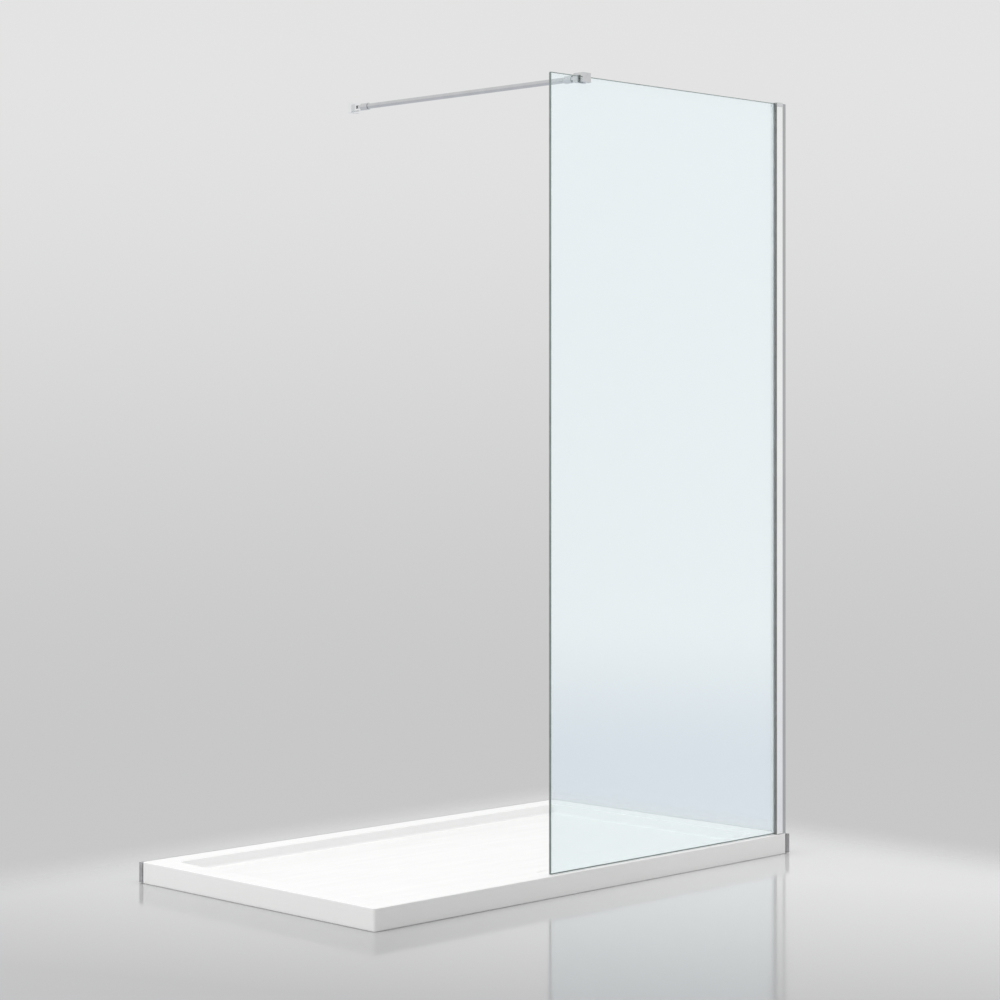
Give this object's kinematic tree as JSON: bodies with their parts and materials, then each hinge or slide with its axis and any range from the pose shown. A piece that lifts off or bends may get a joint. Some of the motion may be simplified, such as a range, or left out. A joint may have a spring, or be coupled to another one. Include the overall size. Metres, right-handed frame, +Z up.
{
  "type": "walk-in shower screen",
  "caption": "Fixed clear glass shower panel in a slim wall profile, standing on the rim of a low white tray, held at the top by a straight bar to the other wall.",
  "frame": {"origin": "centre of the tray's footprint, at floor level", "axes": "+X along the glass towards the side wall that holds its profile, +Y from the glass to the wall that holds the bar, +Z up"},
  "size_m": [1.512, 0.912, 2.066],
  "materials": {
    "tray_white": "white gel coat, satin gloss",
    "cover_white": "white gloss",
    "clear_glass": "clear toughened glass, faint green-blue body",
    "clear_seal": "milky clear strip",
    "channel_aluminium": "satin anodised",
    "profile_aluminium": "polished anodised",
    "dark_rubber": "matt dark grey gasket",
    "grey_foam": "grey closed-cell foam",
    "cap_chrome": "satin chrome",
    "fitting_chrome": "polished chrome",
    "bar_chrome": "polished chrome",
    "screw_steel": "plain steel",
    "grey_plastic": "grey moulded plastic"
  },
  "bodies": {
    "root": {"tray_body": "tray_white", "wall_strip": "grey_foam", "wall_channel": "channel_aluminium", "channel_top_plug": "grey_plastic"},
    "cover": {"waste_cover": "cover_white"},
    "screen": {"glass_panel": "clear_glass", "bottom_seal": "clear_seal", "glass_profile": "profile_aluminium", "outer_gasket": "dark_rubber", "inner_gasket": "clear_seal", "profile_top_cap": "cap_chrome", "profile_foot": "grey_plastic", "lock_screws": "screw_steel", "lock_screw_covers": "cap_chrome"},
    "clamp": {"clamp_body": "fitting_chrome", "clamp_liner": "dark_rubber", "clamp_plate": "screw_steel", "clamp_grub_screws": "screw_steel", "clamp_pin": "screw_steel"},
    "bar": {"bar_tube": "bar_chrome", "bar_glass_end": "fitting_chrome", "bar_wall_end": "fitting_chrome", "bar_grub_screws": "screw_steel"},
    "bracket": {"bracket_body": "fitting_chrome", "bracket_plate": "screw_steel", "bracket_grub_screw": "screw_steel", "bracket_pin": "screw_steel"}
  },
  "joints": [
    {"name": "cover_lift", "type": "slide", "parent": "root", "child": "cover", "axis": [0, 0, 1], "range_m": [0, 0.06]},
    {"name": "profile_slide", "type": "slide", "parent": "root", "child": "screen", "axis": [1, 0, 0], "range_m": [-0.004, 0.005]},
    {"name": "clamp_slide", "type": "slide", "parent": "screen", "child": "clamp", "axis": [1, 0, 0], "range_m": [-0.1, 0.725]},
    {"name": "bar_swivel", "type": "hinge", "parent": "clamp", "child": "bar", "pos_m": [-0.0395, -0.406, 2.051], "axis": [0, 0, 1], "range_deg": [-45, 45]},
    {"name": "bracket_swivel", "type": "hinge", "parent": "bar", "child": "bracket", "pos_m": [-0.0395, 0.417, 2.051], "axis": [0, 0, 1], "range_deg": [-45, 45]}
  ],
  "couplings": [
    {"joint": "bracket_swivel", "follows": "bar_swivel", "ratio": -1}
  ]
}
